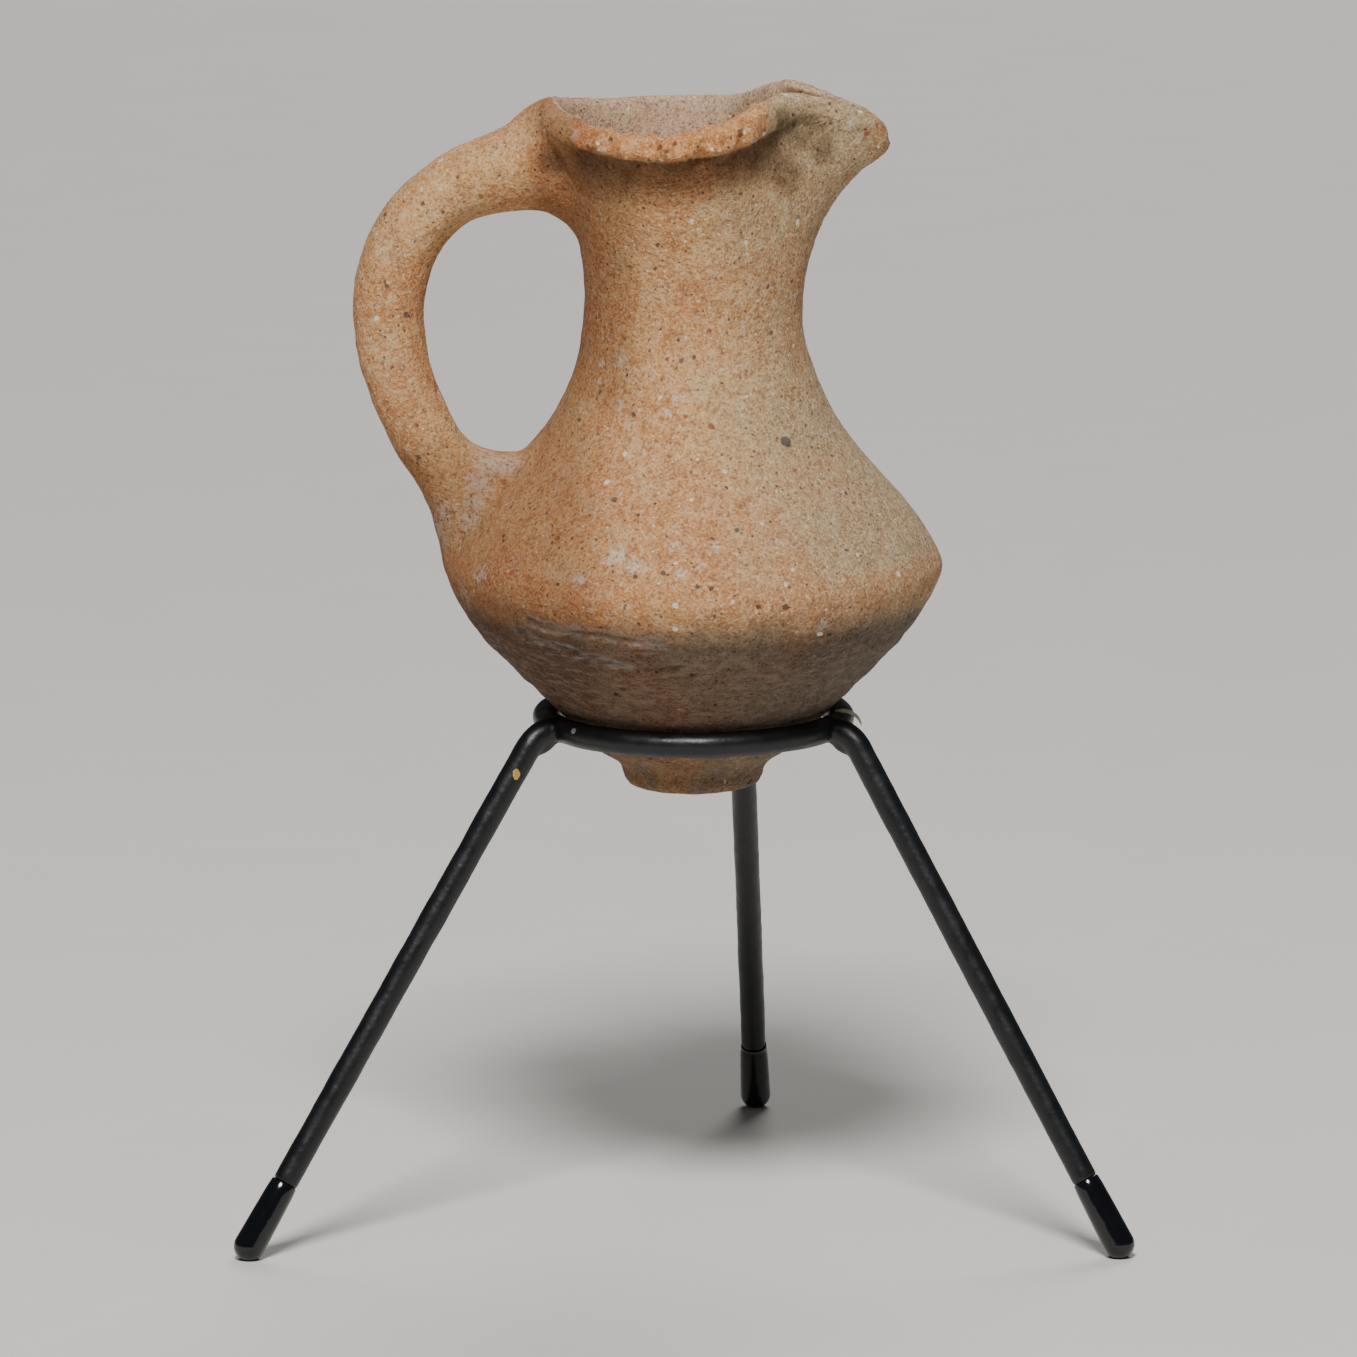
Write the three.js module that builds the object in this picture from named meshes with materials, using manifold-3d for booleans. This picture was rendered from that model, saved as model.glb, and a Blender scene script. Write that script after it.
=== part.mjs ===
// Miniature clay pitcher, hanging by its lower cone in the ring of a coated wire tripod.
// Millimetres, +Z up, +X towards the spout. The origin is the centre of the footprint, on the floor.
// The pitcher is one fired-clay solid: foot, two-coned body, neck, pinched mouth and loop handle.
// The tripod is one welded solid of bent wire, with a slipped-on cap over the end of each leg.

import * as THREE from 'three';
import { mergeVertices } from 'three/addons/utils/BufferGeometryUtils.js';
import Module from 'manifold-3d';

const wasm = await Module();
wasm.setup();

// Body of the pitcher: heights are above the underside of its foot
const footRadius = 8.9;
const footHeight = 2.4;
const footEdge = 1.3;
const footGroove = 0.15;
const coneStartRadius = 12.4;
const coneStartHeight = 4.9;
const bellyRadius = 31.7;
const bellyHeight = 28.5;
const bellyEdge = 0.9;
const neckRadius = 13.65;
const neckHeight = 62;

// Mouth: the rim above the neck, drawn out to a beak at the front and pinched behind it
const rimRadius = 18.2;
const rimHeight = 85.9;
const rimHandleReach = 19.2;
const rimHandleRise = 1.8;
const rimFrontWear = 0.8;
const beakReach = 24.5;
const beakHalfWidth = 5.2;
const beakTipDrop = 1.7;
const pinchRise = 3.5;
const pinchAngle = 46;
const pinchSpread = 15;
const pinchSoftness = 6;
const handleRiseAngle = 125;
const beakTipFall = 1.45;
const beakTipTaper = 0.72;
const rimFlare = 1.9;
const beakFlare = 2.6;
const nearRiseAngle = 108;
const farRiseAngle = 77;
const lipHeight = 4.1;
const lipRoll = 0.7;

// Clay wall
const bodyWall = 4;
const neckWall = 3.4;
const lipWall = 3;
const beakChannelHalfWidth = 2.2;
const floorThickness = 5.5;
const floorRadius = 7;

// Loop handle: places are on the plane of symmetry, distances are from the axis of the pitcher
const handleTopHeight = 79.4;
const handleReach = 38.3;
const handleReachHeight = 59.8;
const handleFootReach = 22.6;
const handleFootHeight = 26.5;
const handleThickness = 9.2;
const handleCrownRise = 0.4;
const handleLowerThickness = 8.4;
const handleWidth = 10;
const handleTopWeb = 3.6;
const handleUnderWeb = 4.2;
const handleFootWeb = 13;
const handleHeel = 2.7;
const handleRootFlare = 1.3;

// Shares of the handle's length between which each swelling comes or goes
const topRootFade = [0.08, 0.28];
const topWebFade = [0.07, 0.15];
const underWebFade = [0, 0.1];
const thinningFade = [0.5, 0.75];
const footRootFade = [0.75, 0.95];
const footWebFade = [0.735, 0.885];
const heelFade = [0.8, 0.96];

// Tripod of coated wire
const wireRadius = 1.1;
const coatThickness = 0.5;
const ringRadius = 18.7;
const ringHeight = 63.9;
const elbowReach = 3.1;
const elbowBend = 2.4;
const leftLegReach = 61.8;
const rightLegReach = 59.2;
const backLegReach = 59.4;
const legs = [
  { name: 'left', ringAzimuth: 206, footAzimuth: 206, reach: leftLegReach },
  { name: 'right', ringAzimuth: 334, footAzimuth: 334, reach: rightLegReach },
  { name: 'back', ringAzimuth: 74, footAzimuth: 82, reach: backLegReach },
];

// Caps on the leg ends
const capLength = 11;
const capMouthRadius = 1.78;
const capRadius = 2;
const capEnd = 1.4;
const capTread = 0.25;

// Space left between pieces that touch
const clearance = 0.3;

// Facets
const potSegments = 48;
const handleSegments = 14;
const wireSegments = 10;
const ringSegments = 44;
const capSegments = 14;

const rad = THREE.MathUtils.degToRad;
const lerp = THREE.MathUtils.lerp;
const smoothstep = THREE.MathUtils.smoothstep;
const clamp = THREE.MathUtils.clamp;

// Solids from rings of points: the rings run from one closed end to the other
function loft(rings) {
  const count = rings[0].length;
  const positions = [];
  const index = [];
  for (const ring of rings) {
    for (const point of ring) positions.push(point.x, point.y, point.z);
  }
  for (let r = 0; r + 1 < rings.length; r += 1) {
    for (let i = 0; i < count; i += 1) {
      const next = (i + 1) % count;
      const a = r * count + i;
      const b = r * count + next;
      const rising = rings[r][i].distanceTo(rings[r + 1][next]);
      const falling = rings[r][next].distanceTo(rings[r + 1][i]);
      if (rising <= falling) index.push(a, b, b + count, a, b + count, a + count);
      else index.push(a, b, a + count, b, b + count, a + count);
    }
  }
  closeEnd(rings[0], 0, false);
  closeEnd(rings[rings.length - 1], (rings.length - 1) * count, true);
  const geometry = new THREE.BufferGeometry();
  geometry.setAttribute('position', new THREE.Float32BufferAttribute(positions, 3));
  geometry.setIndex(index);
  return geometry;

  function closeEnd(ring, first, last) {
    const centre = ring.reduce((sum, point) => sum.add(point), new THREE.Vector3());
    centre.divideScalar(count);
    const pole = positions.length / 3;
    positions.push(centre.x, centre.y, centre.z);
    for (let i = 0; i < count; i += 1) {
      const a = first + i;
      const b = first + ((i + 1) % count);
      if (last) index.push(a, b, pole);
      else index.push(b, a, pole);
    }
  }
}

function circle(radius, height, segments) {
  const ring = [];
  for (let i = 0; i < segments; i += 1) {
    const angle = (2 * Math.PI * i) / segments;
    ring.push(new THREE.Vector3(radius * Math.cos(angle), radius * Math.sin(angle), height));
  }
  return ring;
}

// Joining and cutting
function toSolid(geometry) {
  const bare = geometry.clone();
  bare.deleteAttribute('normal');
  bare.deleteAttribute('uv');
  const merged = mergeVertices(bare, 1e-4);
  return new wasm.Manifold(new wasm.Mesh({
    numProp: 3,
    vertProperties: new Float32Array(merged.attributes.position.array),
    triVerts: new Uint32Array(merged.index.array),
  }));
}

function toGeometry(solid) {
  const mesh = solid.getMesh();
  const geometry = new THREE.BufferGeometry();
  geometry.setAttribute('position', new THREE.BufferAttribute(mesh.vertProperties, 3));
  geometry.setIndex(new THREE.BufferAttribute(mesh.triVerts, 1));
  geometry.computeVertexNormals();
  return geometry;
}

// Side of the body as curves of radius and height, from the cone above the foot to the neck
function sideCurves() {
  const at = (radius, height) => new THREE.Vector2(radius, height);
  const between = (from, to, acrossShare, upShare) => at(
    lerp(from.x, to.x, acrossShare),
    lerp(from.y, to.y, upShare),
  );
  const coneStart = at(coneStartRadius, coneStartHeight);
  const belly = at(bellyRadius, bellyHeight);
  const neck = at(neckRadius, neckHeight);
  const coneEnd = between(coneStart, belly, 0.69, 0.574);
  const shoulder = between(belly, neck, 0.52, 0.38);
  const edgeStart = at(bellyRadius - 0.3 * bellyEdge, bellyHeight - bellyEdge);
  const edgeEnd = at(bellyRadius - 0.5 * bellyEdge, bellyHeight + bellyEdge);
  const edgeTop = at(bellyRadius + 0.1 * bellyEdge, bellyHeight);
  const underNeck = at(neckRadius, lerp(bellyHeight, neckHeight, 0.72));
  return {
    cone: new THREE.LineCurve(coneStart, coneEnd),
    lower: new THREE.QuadraticBezierCurve(coneEnd, between(coneEnd, belly, 0.57, 0.35), edgeStart),
    edge: new THREE.QuadraticBezierCurve(edgeStart, edgeTop, edgeEnd),
    upper: new THREE.CubicBezierCurve(
      edgeEnd,
      between(belly, neck, 0.15, 0.165),
      between(belly, neck, 0.37, 0.29),
      shoulder,
    ),
    hollow: new THREE.CubicBezierCurve(
      shoulder,
      between(belly, neck, 0.76, 0.53),
      underNeck,
      neck,
    ),
  };
}

// Profile of the outside, from the foot to the neck
function bodyProfile() {
  const { cone, lower, edge, upper, hollow } = sideCurves();
  const footSide = new THREE.QuadraticBezierCurve(
    new THREE.Vector2(footRadius - footEdge, 0),
    new THREE.Vector2(footRadius, 0),
    new THREE.Vector2(footRadius, footEdge),
  );
  const footTop = new THREE.QuadraticBezierCurve(
    new THREE.Vector2(footRadius - footGroove, footHeight),
    new THREE.Vector2(
      lerp(footRadius - footGroove, coneStartRadius, 0.15),
      lerp(footHeight, coneStartHeight, 0.55),
    ),
    new THREE.Vector2(coneStartRadius, coneStartHeight),
  );
  return [
    ...footSide.getPoints(3),
    ...footTop.getPoints(3),
    ...cone.getPoints(2).slice(1),
    ...lower.getPoints(5).slice(1),
    ...edge.getPoints(2).slice(1),
    ...upper.getPoints(4).slice(1),
    ...hollow.getPoints(8).slice(1),
  ];
}

// Profile of the hollow, from its floor to the neck: the outside moved in by the wall
function cavityProfile() {
  const { cone, lower, upper, hollow } = sideCurves();
  const points = [new THREE.Vector2(floorRadius, floorThickness)];
  const follow = (curve, shares, wallStart, wallEnd) => {
    for (const share of shares) {
      const along = curve.getTangent(share);
      const wall = lerp(wallStart, wallEnd, share);
      const inward = new THREE.Vector2(-along.y, along.x);
      points.push(curve.getPoint(share).addScaledVector(inward, wall));
    }
  };
  follow(cone, [0, 0.5, 1], bodyWall, bodyWall);
  follow(lower, [0.4, 0.8], bodyWall, bodyWall);
  follow(upper, [0.25, 0.6, 1], bodyWall, bodyWall);
  follow(hollow, [0.2, 0.4, 0.6, 0.8, 1], bodyWall, neckWall);
  return points;
}

// Height of the rim: level at the sides, raised at the handle and the pinch, low at the tip
function rimHeightAt(angle) {
  const turn = Math.abs(angle);
  const pinch = rad(pinchAngle);
  const rise = rad(angle < 0 ? nearRiseAngle : farRiseAngle);
  const wear = rimFrontWear * Math.max(0, -Math.sin(angle)) ** 2;
  if (turn >= pinch) {
    const handle = rimHandleRise * smoothstep(turn, rad(handleRiseAngle), Math.PI);
    return rimHeight - wear + handle + pinchRise * smoothstep(rise - turn, 0, rise - pinch);
  }
  const fall = ((pinch - turn) / pinch) ** beakTipFall;
  return rimHeight - wear + pinchRise - (pinchRise + beakTipDrop) * fall;
}

// A point on the mouth: level runs from 0 at the neck to 1 under the lip, depth is into the wall.
// The height is below the top of the rim where drop is given, and else follows the level.
function mouthPoint(angle, level, depth, drop, halfWidth) {
  const turn = Math.abs(angle);
  const pinch = rad(pinchAngle);
  const radius = lerp(neckRadius, rimRadius, level ** rimFlare) - depth;
  const reach = lerp(neckRadius, beakReach, level ** beakFlare) - depth;
  const heel = lerp(neckRadius, rimHandleReach, level ** rimFlare) - depth;
  const along = smoothstep(pinch - turn, 0, pinch);
  const wanted = 1 - halfWidth / (rimRadius * Math.sin(pinch));
  const shape = 1 / (1 + Math.exp((turn - rad(pinchAngle + pinchSpread)) / rad(pinchSoftness)));
  const tipShare = lerp(beakTipTaper, 1, Math.min(1, turn / pinch));
  const squeeze = wanted * shape * tipShare * level ** beakFlare;
  const back = Math.max(0, -Math.cos(angle));
  const x = Math.cos(angle) * lerp(lerp(radius, reach, along), heel, back);
  const y = Math.sin(angle) * radius * (1 - squeeze);
  const top = rimHeightAt(angle);
  const z = drop === null ? lerp(neckHeight, top - lipHeight, level) : top - drop;
  return new THREE.Vector3(x, y, z);
}

function mouthRing(level, depth, drop, halfWidth) {
  const ring = [];
  for (let i = 0; i < potSegments; i += 1) {
    const angle = (2 * Math.PI * i) / potSegments;
    const turn = angle > Math.PI ? angle - 2 * Math.PI : angle;
    ring.push(mouthPoint(turn, level, depth, drop, halfWidth));
  }
  return ring;
}

// Outside of the mouth, its rounded lip and its inside, in that order
function mouthRings() {
  const rings = [];
  const steps = 7;
  for (let i = 1; i <= steps; i += 1) {
    rings.push(mouthRing(i / steps, 0, null, beakHalfWidth));
  }
  const lipMiddle = (beakHalfWidth + beakChannelHalfWidth) / 2;
  const lip = [
    { depth: -lipRoll, drop: 0.7, halfWidth: beakHalfWidth + lipRoll },
    { depth: -0.7 * lipRoll, drop: 0.28, halfWidth: beakHalfWidth + 0.5 * lipRoll },
    { depth: 0.3 * lipWall, drop: 0.03, halfWidth: lerp(beakHalfWidth, lipMiddle, 0.6) },
    { depth: 0.65 * lipWall, drop: 0.05, halfWidth: lipMiddle },
    { depth: lipWall, drop: 0.45, halfWidth: beakChannelHalfWidth },
  ];
  for (const row of lip) rings.push(mouthRing(1, row.depth, row.drop * lipHeight, row.halfWidth));
  for (let i = steps - 1; i > 0; i -= 1.5) {
    const wall = lerp(neckWall, lipWall, i / steps);
    rings.push(mouthRing(i / steps, wall, null, beakChannelHalfWidth));
  }
  return rings;
}

// The handle's centre line: out from under the rim, down and back to the edge of the belly
function handleCurve() {
  const crown = new THREE.CubicBezierCurve3(
    new THREE.Vector3(-(neckRadius - 0.3 * neckWall), 0, handleTopHeight),
    new THREE.Vector3(-0.8 * handleReach, 0, handleTopHeight + handleCrownRise),
    new THREE.Vector3(-handleReach, 0, lerp(handleReachHeight, handleTopHeight, 0.62)),
    new THREE.Vector3(-handleReach, 0, handleReachHeight),
  );
  const fall = new THREE.CubicBezierCurve3(
    new THREE.Vector3(-handleReach, 0, handleReachHeight),
    new THREE.Vector3(-handleReach, 0, lerp(handleReachHeight, handleFootHeight, 0.325)),
    new THREE.Vector3(
      -lerp(handleReach, handleFootReach, 0.43),
      0,
      lerp(handleReachHeight, handleFootHeight, 0.55),
    ),
    new THREE.Vector3(-handleFootReach, 0, handleFootHeight),
  );
  const path = new THREE.CurvePath();
  path.add(crown);
  path.add(fall);
  return path;
}

function handleGeometry() {
  const path = handleCurve();
  const side = new THREE.Vector3(0, 1, 0);
  const steps = 30;
  const rings = [];
  for (let i = 0; i <= steps; i += 1) {
    const share = i / steps;
    const centre = path.getPointAt(share);
    const out = new THREE.Vector3().crossVectors(side, path.getTangentAt(share));
    const fade = ([from, to]) => smoothstep(share, from, to);
    const slim = lerp(handleThickness, handleLowerThickness, fade(thinningFade)) / 2;
    const root = handleRootFlare * (1 - fade(topRootFade) + fade(footRootFade));
    const topWeb = handleTopWeb * (1 - fade(topWebFade));
    const underWeb = handleUnderWeb * (1 - fade(underWebFade));
    const [webStart, webEnd] = footWebFade;
    const footWeb = handleFootWeb * clamp((share - webStart) / (webEnd - webStart), 0, 1) ** 2;
    const heel = handleHeel * fade(heelFade);
    const outer = slim + root / 3 + topWeb + heel;
    const inner = slim + root + underWeb + footWeb;
    const ring = [];
    for (let k = 0; k < handleSegments; k += 1) {
      const angle = (2 * Math.PI * k) / handleSegments;
      const across = Math.cos(angle) * (Math.cos(angle) > 0 ? outer : inner);
      ring.push(centre.clone()
        .addScaledVector(out, across)
        .addScaledVector(side, (handleWidth / 2 + root) * Math.sin(angle)));
    }
    rings.push(ring);
  }
  return loft(rings);
}

// The pitcher: hollow vessel, with the handle trimmed at the middle of the wall and joined on
function pitcherGeometry() {
  const outside = bodyProfile().map((point) => circle(point.x, point.y, potSegments));
  const inside = cavityProfile().map((point) => circle(point.x, point.y, potSegments)).reverse();
  const vessel = toSolid(loft([...outside, ...mouthRings(), ...inside]));
  const core = [
    ...cavityProfile().map((point) => circle(point.x + 0.4 * neckWall, point.y, potSegments)),
    mouthRing(0.5, 0.6 * neckWall, null, beakHalfWidth),
    mouthRing(1, 0.6 * lipWall, null, beakHalfWidth),
    mouthRing(1, 0.6 * lipWall, -lipHeight, beakHalfWidth),
  ];
  const handle = toSolid(handleGeometry()).subtract(toSolid(loft(core)));
  return toGeometry(vessel.add(handle));
}

// How high the pitcher hangs: its cone comes down until it meets the ring's wire
function seatHeight() {
  const profile = bodyProfile();
  const reach = wireRadius + coatThickness + clearance;
  let seat = Infinity;
  for (let i = 0; i + 1 < profile.length; i += 1) {
    for (let share = 0; share < 1; share += 0.05) {
      const radius = lerp(profile[i].x, profile[i + 1].x, share);
      const height = lerp(profile[i].y, profile[i + 1].y, share);
      const off = radius - ringRadius;
      if (Math.abs(off) < reach) seat = Math.min(seat, height - Math.sqrt(reach ** 2 - off ** 2));
    }
  }
  return ringHeight - seat;
}

// Tube along a line of points, with a radius at each point
function tube(points, radii, segments, side) {
  const rings = points.map((centre, i) => {
    const before = points[Math.max(0, i - 1)];
    const after = points[Math.min(points.length - 1, i + 1)];
    const along = after.clone().sub(before).normalize();
    const out = new THREE.Vector3().crossVectors(side, along);
    const ring = [];
    for (let k = 0; k < segments; k += 1) {
      const angle = (2 * Math.PI * k) / segments;
      ring.push(centre.clone()
        .addScaledVector(out, radii[i] * Math.cos(angle))
        .addScaledVector(side, radii[i] * Math.sin(angle)));
    }
    return ring;
  });
  return loft(rings);
}

// Places along a leg: the elbow stands off the ring, and the toe is set by the leg's own reach
function legPlaces(leg) {
  const polar = (azimuth, distance, height) => new THREE.Vector3(
    distance * Math.cos(rad(azimuth)),
    distance * Math.sin(rad(azimuth)),
    height,
  );
  const start = polar(leg.ringAzimuth, ringRadius, ringHeight);
  const elbow = polar(leg.ringAzimuth, ringRadius + elbowReach, ringHeight);
  const toe = polar(leg.footAzimuth, leg.reach, capRadius - capTread);
  const down = toe.clone().sub(elbow).normalize();
  return {
    start,
    bendStart: polar(leg.ringAzimuth, ringRadius + elbowReach - elbowBend, ringHeight),
    elbow,
    toe,
    down,
    side: new THREE.Vector3().crossVectors(down, new THREE.Vector3(0, 0, -1)).normalize(),
  };
}

// Wire leg: out from the ring, round the elbow and down, with bare wire inside the cap
function legGeometry(leg) {
  const { start, bendStart, elbow, toe, down, side } = legPlaces(leg);
  const coated = wireRadius + coatThickness;
  const bend = new THREE.QuadraticBezierCurve3(
    bendStart,
    elbow,
    elbow.clone().addScaledVector(down, elbowBend),
  );
  const capMouth = toe.clone().addScaledVector(down, -(capLength - capRadius) - clearance);
  const wireEnd = toe.clone().addScaledVector(down, -capEnd - clearance);
  const nearMouth = capMouth.clone().addScaledVector(down, 0.01);
  const points = [start, ...bend.getPoints(4), capMouth, nearMouth, wireEnd];
  const radii = points.map((point, i) => (i < points.length - 2 ? coated : wireRadius));
  return tube(points, radii, wireSegments, side);
}

function standGeometry() {
  const coated = wireRadius + coatThickness;
  const ring = new THREE.TorusGeometry(ringRadius, coated, wireSegments, ringSegments);
  ring.translate(0, 0, ringHeight);
  let solid = toSolid(ring);
  for (const leg of legs) solid = solid.add(toSolid(legGeometry(leg)));
  return toGeometry(solid);
}

// Cap: a bored sleeve with a round end, worn flat where it stands
function capGeometry(leg) {
  const { toe, down, side } = legPlaces(leg);
  const mouth = toe.clone().addScaledVector(down, -(capLength - capRadius));
  const points = [mouth];
  const radii = [capMouthRadius];
  const roundSteps = 5;
  for (let i = 0; i < roundSteps; i += 1) {
    const angle = (0.5 * Math.PI * i) / roundSteps;
    points.push(toe.clone().addScaledVector(down, capRadius * Math.sin(angle)));
    radii.push(capRadius * Math.cos(angle));
  }
  const body = toSolid(tube(points, radii, capSegments, side));
  const boreStart = mouth.clone().addScaledVector(down, -1);
  const boreEnd = toe.clone().addScaledVector(down, -capEnd);
  const boreRadius = wireRadius + clearance;
  const bore = toSolid(tube([boreStart, boreEnd], [boreRadius, boreRadius], capSegments, side));
  const ground = new THREE.BoxGeometry(8 * capRadius, 8 * capRadius, 2 * capRadius);
  ground.translate(toe.x, toe.y, -capRadius);
  return toGeometry(body.subtract(bore).subtract(toSolid(ground)));
}

// Materials
const clay = new THREE.MeshStandardMaterial({ color: 0xbe8c64, roughness: 0.9, metalness: 0 });
const wireCoat = new THREE.MeshStandardMaterial({ color: 0x141414, roughness: 0.45, metalness: 0 });
const capVinyl = new THREE.MeshStandardMaterial({ color: 0x0c0c0c, roughness: 0.2, metalness: 0 });

// The pieces together, with the centre of the footprint at the origin
function namedMesh(name, geometry, material) {
  const mesh = new THREE.Mesh(geometry, material);
  mesh.name = name;
  return mesh;
}

const object = new THREE.Group();
const pitcher = namedMesh('pitcher', pitcherGeometry(), clay);
pitcher.position.z = seatHeight();
object.add(pitcher);
object.add(namedMesh('tripod_stand', standGeometry(), wireCoat));
for (const leg of legs) {
  object.add(namedMesh(`foot_cap_${leg.name}`, capGeometry(leg), capVinyl));
}
object.updateMatrixWorld(true);
const extent = new THREE.Box3().setFromObject(object, true);
const middle = extent.getCenter(new THREE.Vector3());
object.position.set(-middle.x, -middle.y, -extent.min.z);
object.updateMatrixWorld(true);

export default object;
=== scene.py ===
# Looks of a small clay pitcher hanging in its wire tripod, in metres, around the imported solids.

import math

import bpy
from mathutils import Matrix, Vector
from mathutils.geometry import intersect_point_line


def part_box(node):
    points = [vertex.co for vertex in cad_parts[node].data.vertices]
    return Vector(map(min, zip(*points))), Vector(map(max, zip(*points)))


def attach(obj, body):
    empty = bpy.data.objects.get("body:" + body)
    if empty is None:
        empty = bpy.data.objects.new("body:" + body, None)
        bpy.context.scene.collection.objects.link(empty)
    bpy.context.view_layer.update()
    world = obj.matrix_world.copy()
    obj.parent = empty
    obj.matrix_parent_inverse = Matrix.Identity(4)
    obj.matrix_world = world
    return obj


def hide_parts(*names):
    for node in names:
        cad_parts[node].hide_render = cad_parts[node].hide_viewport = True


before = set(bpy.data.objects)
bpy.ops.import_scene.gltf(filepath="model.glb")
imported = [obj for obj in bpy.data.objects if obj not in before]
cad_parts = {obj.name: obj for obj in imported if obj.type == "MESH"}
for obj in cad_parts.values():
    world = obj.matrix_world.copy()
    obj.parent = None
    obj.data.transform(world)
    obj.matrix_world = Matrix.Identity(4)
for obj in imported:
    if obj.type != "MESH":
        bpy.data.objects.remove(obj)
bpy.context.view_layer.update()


# Camera: at the height and distance from which the pitcher was seen, level from side to side.
# A long lens, far back, looks down on it by about eleven degrees.
mm = 0.001
pot_low, pot_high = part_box("pitcher")
belly_radius = (pot_high.y - pot_low.y) / 2
pot_foot = Vector((pot_high.x - belly_radius, (pot_low.y + pot_high.y) / 2, pot_low.z))

camera_height = 350.2 * mm
camera_back = 1472.4 * mm
camera_left = 1.9 * mm
camera_tilt = math.radians(10.82)
camera_lens = 315.15

bpy.ops.object.select_all(action="DESELECT")
bpy.ops.object.camera_add(
    location=(pot_foot.x - camera_left, pot_foot.y - camera_back, camera_height),
    rotation=(math.pi / 2 - camera_tilt, 0, 0),
)
camera = bpy.context.object
camera.data.lens = camera_lens
camera.data.sensor_width = 36
camera.data.clip_end = 50
bpy.context.scene.camera = camera


# Pitcher: one vessel of coarse, gritty buff clay, built up and scraped while leather hard, with its
# mouth pinched to a spout and a rolled handle pressed on at the rim and the shoulder before firing.
# Burial and handling have worn its lip, gouged its lower cone and left soil and lime on it.
pot_voxel = 0.625 * mm
pot_smoothing = 21
hollow_floor = 8
hollow_radius = 27
handle_edge = -15
rim_edge = -19
rim_height = 78
spout_start = 10
spout_root = 70
lip_lowest = 82
lip_middle = -5
lip_curve = 0.012
crest_height = 88
crest_start = 13.6
crest_fall = 0.3


def only(piece):
    """Selects this piece alone."""
    bpy.ops.object.select_all(action="DESELECT")
    piece.select_set(True)
    bpy.context.view_layer.objects.active = piece


def finish_with(piece, kind, **settings):
    """Adds a modifier with its settings and applies it."""
    only(piece)
    modifier = piece.modifiers.new(kind.lower(), kind)
    for setting, value in settings.items():
        setattr(modifier, setting, value)
    bpy.ops.object.modifier_apply(modifier=modifier.name)


def ramp(value, start, end):
    """0 up to start, 1 from end on, and smooth between them. Start may be above end."""
    share = min(1, max(0, (value - start) / (end - start)))
    return share * share * (3 - 2 * share)


# Rules of place, from 0 to 1, for a place in millimetres from the middle of the foot. The limits
# of their ramps are in millimetres too, across (x), towards the back (y) and up (z).
def outside(place, normal):
    """The outside of the vessel and the handle, but not the wall of the hollow."""
    radius = math.hypot(place.x, place.y)
    if place.x > spout_start and place.z > spout_root:
        inwards = place.y * normal.y < -0.5 * abs(place.y) or normal.x < -0.6
    else:
        inwards = place.x * normal.x + place.y * normal.y < -0.25 * max(1, radius)
    clear_of_handle = place.x > handle_edge or place.z > rim_height and place.x > rim_edge
    in_the_pot = radius < hollow_radius and place.z > hollow_floor
    return 0 if inwards and in_the_pot and clear_of_handle else 1


def hollow(place, normal):
    return 1 - outside(place, normal)


def everywhere(place, normal):
    return 1


def lip_height(place):
    """How far a place is above the lower edge of the worn lip, which dips in the middle."""
    return place.z - lip_lowest - lip_curve * (place.x - lip_middle) ** 2


def worn_lip(place, normal):
    """The front of the lip, worn to a rough, redder band."""
    along = ramp(place.y, -3, -9) * ramp(place.x, 12, 6) * ramp(place.x, -18, -12)
    return along * outside(place, normal) * ramp(lip_height(place), -0.35, 0.35)


def below_lip(place, normal):
    """The wall under the front of the lip, darkened with painted shade from the overhanging lip."""
    along = ramp(place.y, -1, -7) * ramp(place.x, 16, 8) * ramp(place.x, -19, -12)
    height = ramp(lip_height(place), 0.3, -0.4) * ramp(lip_height(place), -9, -1.5)
    return along * outside(place, normal) * height


def near_lip(place, normal):
    return ramp(place.z, 77, 80.5) * ramp(place.y, 2, -4) * ramp(place.x, -19, -13)


def away_from_lip(place, normal):
    """All of the clay, but the lip much less, so that it keeps its edge."""
    return 1 - 0.72 * near_lip(place, normal)


def lower_cone(place, normal):
    """The cone below the belly's edge, and the foot a little less."""
    return outside(place, normal) * ramp(place.z, 29.5, 21) * (0.8 + 0.2 * ramp(place.z, 4, 13))


def scraped_cone(place, normal):
    """The lower cone without the foot."""
    return lower_cone(place, normal) * ramp(place.z, 4, 8)


def carination(place, normal):
    """The edge round the belly, where the wall turns in."""
    return outside(place, normal) * ramp(place.z, 32.5, 29.5) * ramp(place.z, 24, 27)


def channel(place, normal):
    """The bottom of the spout's channel, below its two crests, which fall towards the tip."""
    crest = crest_height - crest_fall * (place.x - crest_start)
    return hollow(place, normal) * ramp(place.x, 9.5, 12.5) * ramp(place.z - crest, 0.3, -0.4)


def spout_tip(place, normal):
    """The worn, redder end of the spout."""
    return outside(place, normal) * ramp(place.x, 20.5, 24) * ramp(place.z, 76, 81)


def shaded_side(place, normal):
    """The side of body and neck under the handle, darkened with painted shade and some soil."""
    past_the_handle = max(ramp(place.x, -23, -18), ramp(place.z, 50, 38))
    body = ramp(place.x, -6, -18) * past_the_handle
    neck = ramp(place.x, -3, -12) * ramp(place.x, -24, -17)
    neck *= ramp(place.z, 44, 54) * ramp(place.z, 82, 76)
    return outside(place, normal) * max(body, neck)


def from_foot(vertex):
    """The place of a vertex, in millimetres from the middle of the pitcher's foot."""
    return (vertex.co - pot_foot) / mm


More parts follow.
